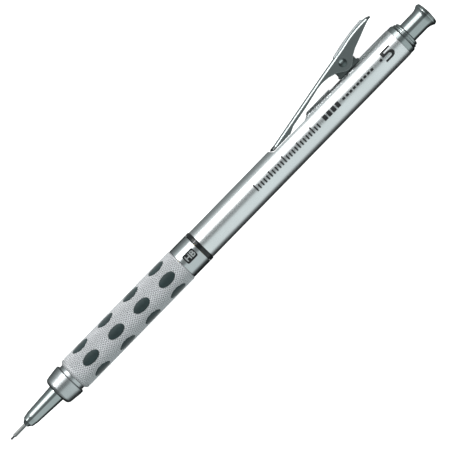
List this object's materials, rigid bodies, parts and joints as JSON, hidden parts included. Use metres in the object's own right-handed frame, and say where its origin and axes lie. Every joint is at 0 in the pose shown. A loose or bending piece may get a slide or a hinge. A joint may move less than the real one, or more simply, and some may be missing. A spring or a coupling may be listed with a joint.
{
  "type": "mechanical pencil",
  "caption": "Metal drafting pencil with a retractable guide pipe, push-button lead feed, knurled grip with soft oval pads, lead-grade ring and sprung pocket clip.",
  "frame": {"origin": "centre of the guide pipe's front end, with the tip out; the lead stands out towards -X from there", "axes": "+X along the pencil from the tip to the push button, +Y towards the pocket clip, +Z out of the side that shows the grade window"},
  "size_m": [0.1494, 0.0156, 0.0096],
  "materials": {
    "barrel_aluminium": "satin silver, fine blasted and anodised",
    "ring_aluminium": "satin silver",
    "chrome": "bright plated",
    "satin_chrome": "satin plated",
    "knurled_metal": "fine diamond knurl, satin silver",
    "polished_steel": "polished sheet steel",
    "bracket_steel": "dark pressed steel",
    "pipe_steel": "drawn stainless steel",
    "spring_steel": "bright spring wire",
    "brass": "turned brass",
    "soft_pad": "soft matt dark grey-green elastomer",
    "black_rubber": "matt black rubber",
    "eraser_rubber": "matt white vinyl",
    "black_plastic": "matt black with pale grades",
    "gloss_black": "gloss black",
    "white_plastic": "plain moulded",
    "grey_plastic": "plain moulded",
    "graphite": "polymer-bonded graphite with a slight sheen"
  },
  "bodies": {
    "barrel": {"barrel": "barrel_aluminium", "rear_ring": "chrome", "grip_core": "brass", "grip_sleeve": "knurled_metal", "pad_sleeve": "soft_pad", "front_collar": "satin_chrome", "coupling_ring": "satin_chrome", "grade_drum": "black_plastic", "spacer_ring": "gloss_black", "spring_seat": "white_plastic", "return_spring": "spring_steel", "clip_bracket": "bracket_steel", "clip_pin": "polished_steel", "clip_spring": "spring_steel"},
    "mechanism": {"guide_pipe": "pipe_steel", "nozzle": "chrome", "lead_retainer": "black_rubber", "clutch_housing": "brass", "clutch_spring": "spring_steel", "carriage_tube": "grey_plastic", "latch_collar": "grey_plastic"},
    "clutch_ring": {"clutch_ring": "brass"},
    "plunger": {"chuck": "brass", "chuck_connector": "white_plastic", "lead_reservoir": "white_plastic", "spare_leads": "graphite", "eraser_holder": "polished_steel"},
    "eraser": {"eraser": "eraser_rubber"},
    "push_button": {"push_button": "chrome"},
    "lead": {"lead": "graphite"},
    "grade_ring": {"grade_ring": "ring_aluminium"},
    "clip": {"clip": "polished_steel", "release_hook": "bracket_steel"}
  },
  "joints": [
    {"name": "tip_retract", "type": "slide", "parent": "barrel", "child": "mechanism", "axis": [1, 0, 0], "range_m": [0, 0.0165], "deforming": ["return_spring"]},
    {"name": "button_press", "type": "slide", "parent": "mechanism", "child": "plunger", "axis": [-1, 0, 0], "range_m": [0, 0.0025], "stiffness_N_per_m": 600, "springref_m": -0.002, "deforming": ["clutch_spring"]},
    {"name": "clutch_ring_slide", "type": "slide", "parent": "mechanism", "child": "clutch_ring", "axis": [-1, 0, 0], "range_m": [0, 0.00065]},
    {"name": "cap_pull", "type": "slide", "parent": "plunger", "child": "push_button", "axis": [1, 0, 0], "range_m": [0, 0.03]},
    {"name": "eraser_pull", "type": "slide", "parent": "plunger", "child": "eraser", "axis": [1, 0, 0], "range_m": [0, 0.0015]},
    {"name": "lead_feed", "type": "slide", "parent": "mechanism", "child": "lead", "axis": [-1, 0, 0], "range_m": [-0.00115, 0.008]},
    {"name": "grade_ring_turn", "type": "hinge", "parent": "barrel", "child": "grade_ring", "pos_m": [0.06295, 0, 0], "axis": [1, 0, 0], "continuous": true},
    {"name": "clip_press", "type": "hinge", "parent": "barrel", "child": "clip", "pos_m": [0.12395, 0.00635, 0], "axis": [0, 0, -1], "range_deg": [0, 18], "stiffness_Nm_per_rad": 0.15, "springref_deg": -17.19, "deforming": ["clip_spring"]}
  ],
  "couplings": [
    {"joint": "clutch_ring_slide", "follows": "button_press", "ratio": 0.24}
  ]
}
